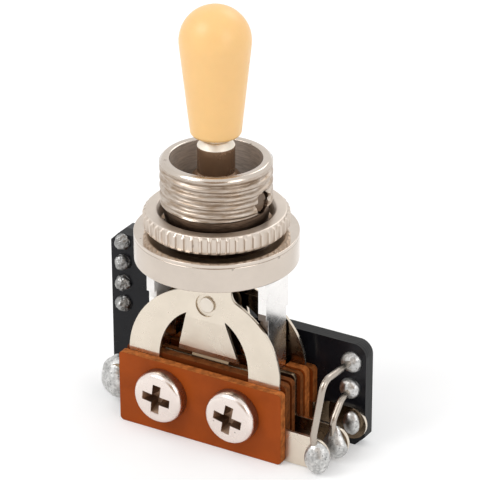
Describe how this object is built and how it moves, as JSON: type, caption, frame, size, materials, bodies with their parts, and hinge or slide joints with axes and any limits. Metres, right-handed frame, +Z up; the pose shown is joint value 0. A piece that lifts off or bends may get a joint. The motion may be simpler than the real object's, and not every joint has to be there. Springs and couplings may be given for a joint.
{
  "type": "toggle switch",
  "caption": "Panel-mount lever toggle switch on a threaded bushing, with arched leaf contacts clamped between fibre plates and a small connection board.",
  "frame": {"origin": "the lever's pivot centre on the bushing's axis", "axes": "+Z up the bushing towards the lever's tip, X along the pivot pin, -Y towards the front contact stack"},
  "size_m": [0.0325, 0.0229, 0.0494],
  "materials": {
    "cream_plastic": "smooth satin gloss",
    "nickel_plate": "bright warm nickel plate",
    "steel": "plain steel",
    "nickel_silver": "rolled bright sheet",
    "contact_silver": "polished contact metal",
    "brown_fibre": "satin face, matt cut edges",
    "black_plastic": "matt",
    "black_laminate": "glossy solder mask, grey cut edge",
    "gilt_brass": "bright",
    "tinned_copper": "tinned",
    "solder": "bright, uneven"
  },
  "bodies": {
    "switch_body": {"pivot_pin": "steel", "bushing": "nickel_plate", "flange_washer": "nickel_plate", "knurled_nut": "nickel_plate", "frame": "nickel_plate", "front_cover_plate": "brown_fibre", "rear_cover_plate": "brown_fibre", "front_middle_plate": "brown_fibre", "rear_middle_plate": "brown_fibre", "front_inner_plate": "brown_fibre", "rear_inner_plate": "brown_fibre", "front_spring_leaf": "nickel_silver", "rear_spring_leaf": "nickel_silver", "front_leaf_contact": "contact_silver", "rear_leaf_contact": "contact_silver", "front_fixed_contact": "nickel_silver", "rear_fixed_contact": "nickel_silver", "front_fixed_rivet": "contact_silver", "rear_fixed_rivet": "contact_silver", "centre_spacer": "steel", "ground_plate": "nickel_silver", "screw_sleeves": "black_plastic", "clamp_screws": "nickel_plate", "clamp_nuts": "nickel_plate", "circuit_board": "black_laminate", "header_housing": "black_plastic", "header_pins": "gilt_brass", "jumper_wires": "tinned_copper", "header_solder": "solder", "jumper_solder": "solder", "front_tag_solder": "solder", "ground_tag_solder": "solder", "rear_tag_solder": "solder", "output_tag_solder": "solder"},
    "lever": {"toggle_tip": "cream_plastic", "lever": "nickel_plate", "lever_shoe": "black_plastic"}
  },
  "joints": [
    {"name": "lever_tilt", "type": "hinge", "parent": "switch_body", "child": "lever", "pos_m": [0, 0, 0], "axis": [1, 0, 0], "range_deg": [-15, 15], "deforming": ["front_spring_leaf", "rear_spring_leaf"]}
  ]
}
